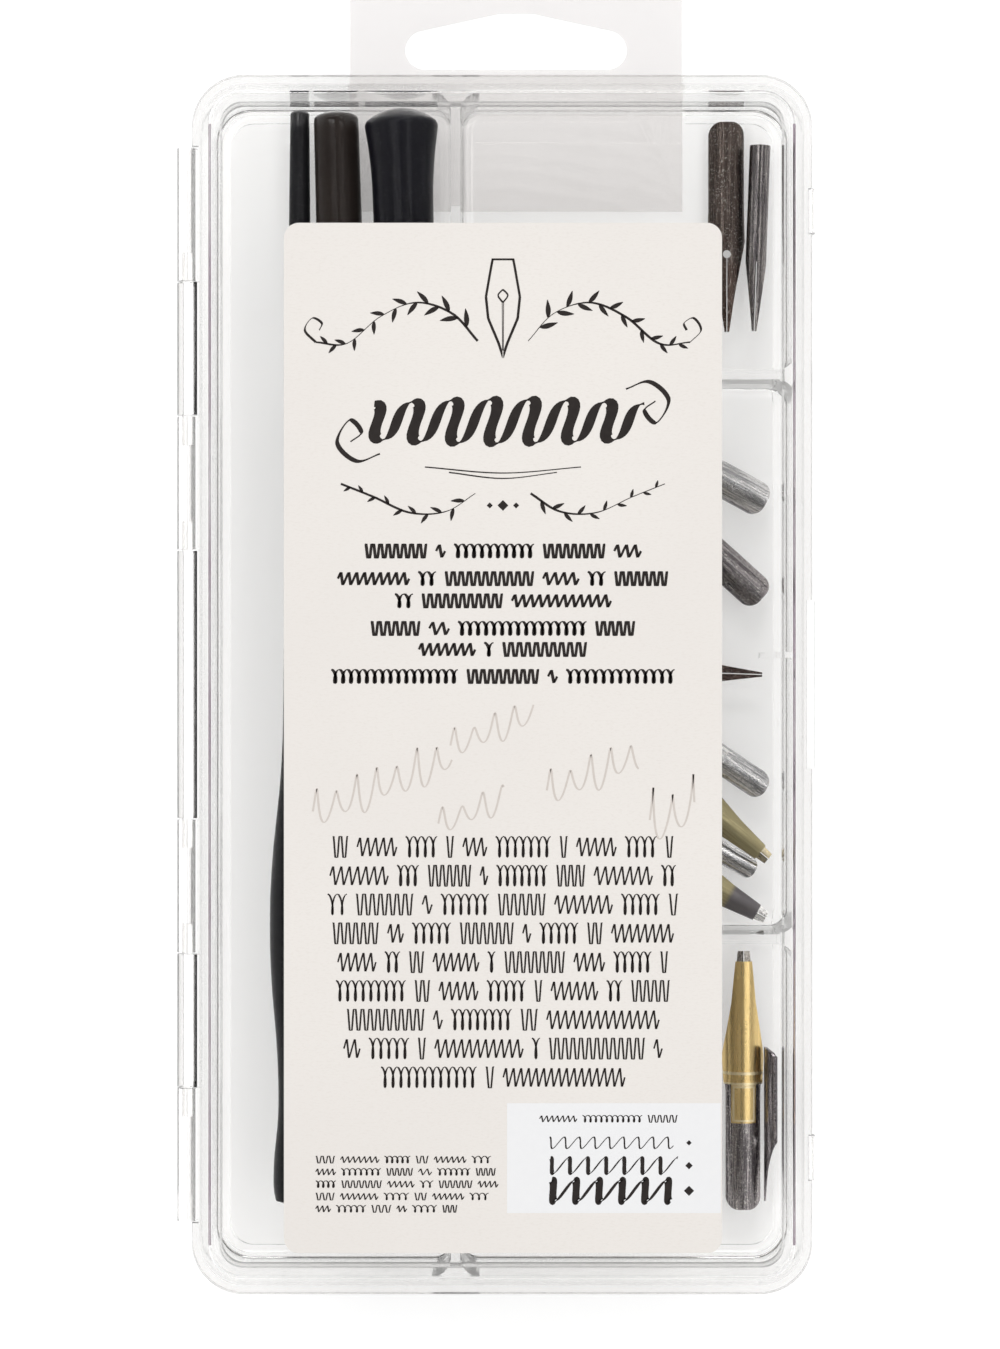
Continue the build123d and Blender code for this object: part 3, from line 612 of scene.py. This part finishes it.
class Print:
    # Ink on the label: strips of quads in label millimetres, from its middle line and its lower edge.
    def __init__(self, name):
        self.name = name
        self.points = []
        self.faces = []
        self.count = 0

    def strip(self, left, right):
        # Quads between two rows of points on the left and right of a stroke, wound to face up.
        left, right = np.asarray(left, float), np.asarray(right, float)
        across, ahead = right[0] - left[0], left[1] - left[0]
        if across[0] * ahead[1] < across[1] * ahead[0]:
            left, right = right, left
        rows = len(left)
        flat = np.empty((2 * rows, 2))
        flat[0::2] = left
        flat[1::2] = right
        first = np.arange(rows - 1) * 2 + self.count
        self.points.append(flat)
        self.faces.append(np.stack([first, first + 1, first + 3, first + 2], axis=1))
        self.count += 2 * rows

    def stroke(self, path, width, hair=0.12, penAngle=0.7):
        # A broad pen's stroke: its width is the pen's times the sine of the angle between the path and
        # the pen's edge, and never under a hairline.
        path = np.asarray(path, float)
        along = np.gradient(path, axis=0)
        along /= np.linalg.norm(along, axis=1)[:, None] + 1e-12
        side = np.stack([-along[:, 1], along[:, 0]], axis=1)
        edge = np.abs(along[:, 0] * np.sin(penAngle) - along[:, 1] * np.cos(penAngle))
        half = np.maximum(width * edge, hair)[:, None] / 2
        self.strip(path + side * half, path - side * half)

    def leaf(self, start, heading, length, width):
        # A leaf: its half width is the sine of the way along it, on a gently bent middle line.
        share = np.linspace(0, 1, 9)[:, None]
        ahead = np.array([np.cos(heading), np.sin(heading)])
        aside = np.array([-ahead[1], ahead[0]])
        middle = start + ahead * share * length + aside * 0.12 * length * share ** 2
        half = aside * (0.04 + width * np.sin(np.pi * share ** 0.8))
        self.strip(middle + half, middle - half)

    def box(self, left, low, width, height):
        # A filled rectangle on its lower left corner.
        right, top = left + width, low + height
        self.strip([(left, low), (left, top)], [(right, low), (right, top)])

    def diamond(self, x, y, half):
        # A square on its corner, from its centre out by half.
        self.strip([(x - half, y), (x, y + half)], [(x, y - half), (x + half, y)])

    def make(self, material):
        # The finished piece: a thin sheet of ink, lifted so that its lower side clears the label.
        flat = np.concatenate(self.points) * mm
        spots = np.empty((len(flat), 3))
        spots[:, 0] = labelMiddle + flat[:, 0]
        spots[:, 1] = labelLow[1] + flat[:, 1]
        spots[:, 2] = labelHigh[2] + inkLift[self.name]
        mesh = bpy.data.meshes.new(self.name)
        mesh.from_pydata(spots.tolist(), [], np.concatenate(self.faces).tolist())
        mesh.update()
        mesh.materials.append(material)
        made = bpy.data.objects.new(self.name, mesh)
        bpy.context.scene.collection.objects.link(made)
        body = made.modifiers.new("body", "SOLIDIFY")
        body.thickness = inkDepth
        body.offset = -1.0
        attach(made, "lid")


def smoothCurve(points, count=24):
    # A Catmull-Rom curve through given points: each run is the cubic that leaves a point along
    # the line between its neighbours.
    spots = np.asarray(points, float)
    spots = np.vstack([2 * spots[0] - spots[1], spots, 2 * spots[-1] - spots[-2]])
    share = np.linspace(0, 1, count, endpoint=False)[None, :, None]
    before, start, end, after = (spots[k:len(spots) - 3 + k, None, :] for k in range(4))
    bend = (2 * before - 5 * start + 4 * end - after) * share ** 2
    cubic = (3 * start - before - 3 * end + after) * share ** 3
    runs = 0.5 * (2 * start + (end - before) * share + bend + cubic)
    return np.vstack([runs.reshape(-1, 2), spots[-2]])


emblem = {
    "stem": ((4.2, 152.0), (8.5, 156.6), (14.5, 158.4), (20.5, 156.0), (26.0, 151.6), (31.2, 151.8)),
    "lowStem": ((4.6, 126.6), (9.5, 123.6), (15.5, 123.4), (21.5, 126.0), (27.0, 128.2)),
    "curl": ((31.2, 151.8), (33.0, 153.8), (31.8, 155.8), (30.2, 155.0), (30.6, 153.8)),
    "leafLength": 3.3, "leafWidth": 0.42, "leafTurn": 0.75, "pen": 0.42, "leaves": 15,
    "lowLeaves": 10, "lowLength": 2.4, "lowWidth": 0.32,
    "nibTop": 165.6, "nibLength": 16.5, "nibHalf": 3.1, "nibLine": 0.42,
    "nibShares": (0, 0.1, 0.38, 0.6, 0.85, 1), "nibWidths": (0.62, 0.72, 0.98, 0.86, 0.3, 0.04),
    "slitTop": 158.4, "slitEnd": 150.4, "slitPen": 0.12, "slitHalves": (0.12, 0.06),
    "ventTop": 160.6, "ventMiddle": 159.6, "ventHalf": 0.8, "ventPen": 0.3, "ventHair": 0.24,
    "baseHalf": 1.9, "basePen": 0.5,
    "diamonds": ((0, 0.9), (-2.2, 0.5), (2.2, 0.5)), "diamondsAt": 124.6,  # place across and half size
}


def leafSpray(ink, stem, hand, leaves, look):
    # A stem with leaves in turn on its two sides, shorter towards its end.
    path = smoothCurve(stem) * (hand, 1)
    ink.stroke(path, look["pen"])
    spots = np.linspace(0.1, 0.94, leaves)
    for place, share in enumerate(spots.tolist()):
        here = int(share * (len(path) - 2))
        step = path[here + 1] - path[here]
        side = 1 if place % 2 else -1
        heading = np.arctan2(step[1], step[0]) + side * look["leafTurn"]
        length = look["leafLength"] * (1.0 - 0.5 * share)
        ink.leaf(path[here], heading, length, look["leafWidth"] * (1.0 - 0.4 * share))


def printEmblem(ink, look):
    # A drawn pen point between two leaf sprays, and smaller sprays with three diamonds lower down. The
    # point's half width runs straight between listed widths down its length.
    lowLook = dict(look, leafLength=look["lowLength"], leafWidth=look["lowWidth"])
    for hand in (-1, 1):
        leafSpray(ink, look["stem"], hand, look["leaves"], look)
        leafSpray(ink, look["lowStem"], hand, look["lowLeaves"], lowLook)
        ink.stroke(smoothCurve(look["curl"]) * (hand, 1), look["pen"])
        share = np.linspace(0, 1, 40)
        outline = look["nibHalf"] * np.interp(share, look["nibShares"], look["nibWidths"])
        height = look["nibTop"] - look["nibLength"] * share
        edge = np.stack([hand * outline, height], axis=1)
        inner = np.stack([hand * (outline - look["nibLine"]).clip(0.06), height + 0.1], axis=1)
        ink.strip(edge, inner)
        slitHigh, slitLow = (hand * half for half in look["slitHalves"])
        ink.stroke([(slitHigh, look["slitTop"]), (slitLow, look["slitEnd"])], look["slitPen"])
        vent = ((0, look["ventTop"]), (hand * look["ventHalf"], look["ventMiddle"]), (0, look["slitTop"]))
        ink.stroke(smoothCurve(vent), look["ventPen"], look["ventHair"])
    ink.stroke([(-look["baseHalf"], look["nibTop"]), (look["baseHalf"], look["nibTop"])], look["basePen"])
    for x, half in look["diamonds"]:
        ink.diamond(x, look["diamondsAt"], half)


wave = {
    "half": 22.5, "turns": 7, "tall": 3.7, "middle": 138.6, "lean": 0.36, "swell": 0.2, "bulge": 0.5,
    "pen": 2.2, "hair": 0.22, "penAngle": 0.35,
    "tail": ((20.5, 5.0), (24.4, 6.2), (27.6, 3.2), (25.6, -0.6), (23.6, 1.4), (25.4, 3.0)), "tailPen": 0.8,
    "underlines": ((13.0, 7.6), (9.0, 8.5)), "sag": 1.0, "linePen": 0.3,  # half width and drop of each
}


def printWave(ink, look):
    # A big running wave: height is the cosine of the way along, leaning, swelling to the middle, with a
    # curled tail at each end and two hanging lines under it.
    turn = np.linspace(0, look["turns"] * 2 * np.pi, look["turns"] * 36)
    share = turn / turn[-1]
    swell = 1 - look["swell"] + look["swell"] * np.sin(np.pi * share)
    height = look["tall"] * np.cos(turn) * swell
    x = (2 * share - 1) * look["half"] + look["lean"] * height + look["bulge"] * np.sin(2 * turn)
    ink.stroke(np.stack([x, look["middle"] + height], axis=1), look["pen"], look["hair"], look["penAngle"])
    for hand in (-1, 1):
        y = look["middle"] + hand * 0.4
        ink.stroke(smoothCurve(look["tail"]) * (hand, hand) + (0, y), look["tailPen"], look["hair"])
    for half, drop in look["underlines"]:
        y = look["middle"] - drop
        ink.stroke(smoothCurve(((-half, y), (0, y - look["sag"]), (half, y))), look["linePen"])


drillHand = {"square": 1.7, "slant": 0.12, "throw": 0.3, "penAngle": 0.3}
drills = {
    "bold": {"tall": 2.3, "pen": 0.52, "hair": 0.2, "pitch": 1.35, "gap": 1.5},
    "light": {"tall": 3.5, "pen": 0.32, "hair": 0.14, "pitch": 1.3, "gap": 1.5, "top": 67.7, "step": 4.8},
    "small": {
        "tall": 1.15, "pen": 0.24, "hair": 0.12, "pitch": 0.95, "gap": 0.9, "top": 15.6, "step": 2.05,
    },
}
boldRows = (  # height, half width, beats of each group
    (117.0, 23.0, (7, 1, 9, 7, 3)), (112.4, 27.5, (8, 2, 10, 4, 2, 6)), (108.7, 18.0, (2, 9, 11)),
    (104.1, 22.0, (5, 2, 13, 4)), (100.6, 14.0, (6, 1, 9)), (96.1, 28.6, (14, 8, 1, 12)),
)
lightRows = (  # half width, beats of each group
    (28.4, (2, 5, 4, 1, 3, 7, 1, 5, 4, 1)), (28.8, (8, 3, 6, 1, 7, 4, 8, 2)),
    (29.2, (2, 6, 1, 5, 5, 6, 4, 1)), (28.4, (6, 2, 5, 7, 1, 5, 2, 8)), (27.5, (5, 2, 2, 6, 1, 8, 4, 5, 1)),
    (27.8, (9, 2, 5, 5, 1, 6, 2, 5)), (26.0, (9, 1, 7, 2, 13)), (26.5, (2, 5, 1, 11, 1, 12, 1)),
    (20.3, (11, 1, 14)),
)
smallRows = {"left": -31.2, "halves": (14.6, 15.0, 15.2, 14.4, 11.8), "beats": (3, 6, 4, 2, 5, 3)}


def drillRow(ink, middle, height, half, beats, look, first):
    # Groups of pen-drill strokes with gaps between: arches, then slants, then running loops. Each is a
    # wave along the row, with its crests squared, straight or thrown forwards.
    gap = look["gap"]
    unit = (2 * half - gap * (len(beats) - 1)) / sum(beats)
    start = middle - half
    for place, beat in enumerate(beats):
        length = unit * beat
        turns = max(1, round(length / look["pitch"]))
        turn = np.linspace(0, turns * 2 * np.pi, turns * 14 + 1)
        x = start + length * turn / turn[-1]
        kind = (place + first) % 3
        if kind == 0:
            rise = np.clip(drillHand["square"] * np.cos(turn), -1, 1)
        elif kind == 1:
            rise = np.arcsin(np.sin(turn)) * 2 / np.pi
            x = x + drillHand["slant"] * look["pitch"] * rise
        else:
            rise = np.cos(turn)
            x = x + drillHand["throw"] * look["pitch"] * np.sin(turn)
        path = np.stack([x, height + look["tall"] / 2 * rise], axis=1)
        ink.stroke(path, look["pen"], look["hair"], drillHand["penAngle"])
        start += length + gap


def printRows(ink):
    # Bold rows and light rows on the middle line, and small ones that start together at the left.
    for place, (height, half, beats) in enumerate(boldRows):
        drillRow(ink, 0, height, half, beats, drills["bold"], place)
    light, small = drills["light"], drills["small"]
    for place, (half, beats) in enumerate(lightRows):
        drillRow(ink, 0, light["top"] - light["step"] * place, half, beats, light, place)
    for place, half in enumerate(smallRows["halves"]):
        height = small["top"] - small["step"] * place
        drillRow(ink, half + smallRows["left"], height, half, smallRows["beats"], small, place)


penScale = {
    "left": 7.4, "right": 28.6, "hair": 0.14, "penAngle": 0.6, "spread": 26, "lean": 0.2, "dotAway": 2.4,
    "waves": ((0.3, 18.4, 1.9), (0.8, 14.6, 2.6), (1.5, 10.4, 3.6)),  # pen width, height and tallness
    "caption": (17.6, 22.4, 11.5, (5, 8, 4)),  # middle, height, half width, beats
}


def printScale(ink, look):
    # Three running waves on the white panel, each written with a broader pen than the one above it:
    # height is a cosine, along goes evenly and leans with it. A diamond ends each, as wide as its pen.
    for pen, height, tall in look["waves"]:
        turn = np.linspace(0, 2 * np.pi * look["spread"] / (tall + 1.1), 300)
        rise = tall * np.cos(turn)
        x = look["left"] + (look["right"] - look["left"]) * turn / turn[-1] + look["lean"] * rise
        ink.stroke(np.stack([x, height + rise / 2], axis=1), pen, look["hair"], look["penAngle"])
        ink.diamond(look["right"] + look["dotAway"], height, 0.35 + pen / 3)
    drillRow(ink, *look["caption"], drills["small"], 1)


paleLoops = {
    "pitch": 3.6, "lean": 0.45, "slope": 0.38, "throw": 0.1, "pen": 0.36, "hair": 0.2, "penAngle": 0.2,
    "runs": (  # start, length and tallness
        (-32, 73.5, 25, 3.4), (-11, 71.5, 12, 2.4), (-9, 84.5, 15, 2.6), (7, 77, 17, 3.2), (24, 72, 9, 5.0),
    ),
}


def printLoops(pale, look):
    # Leaning waves on a slope, as in a penmanship drill: along plus a cosine, up by a sine that slowly
    # grows and shrinks, leaning, and then turned by the slope.
    for x0, y0, length, tall in look["runs"]:
        turn = np.linspace(0, 2 * np.pi * length / look["pitch"], int(14 * length))
        up = tall * np.sin(turn) * (0.75 + 0.25 * np.cos(turn * 0.37))
        along = turn / (2 * np.pi) * look["pitch"] + look["throw"] * tall * np.cos(turn) + look["lean"] * up
        x = x0 + along * np.cos(look["slope"]) - up * np.sin(look["slope"])
        y = y0 + along * np.sin(look["slope"]) + up * np.cos(look["slope"])
        pale.stroke(np.stack([x, y], axis=1), look["pen"], look["hair"], look["penAngle"])


whitePanel = {"left": 0.7, "low": 6.7, "width": 35.6, "height": 18.3}
panel = Print("labelPanel")
panel.box(whitePanel["left"], whitePanel["low"], whitePanel["width"], whitePanel["height"])
loops = Print("labelLoops")
printLoops(loops, paleLoops)
ink = Print("labelInk")
printEmblem(ink, emblem)
printWave(ink, wave)
printRows(ink)
printScale(ink, penScale)
for sheet, finish in ((panel, "whiteInk"), (loops, "paleInk"), (ink, "darkInk")):
    sheet.make(printedInk(finish, *inks[finish]))
print("stage: label and its print")
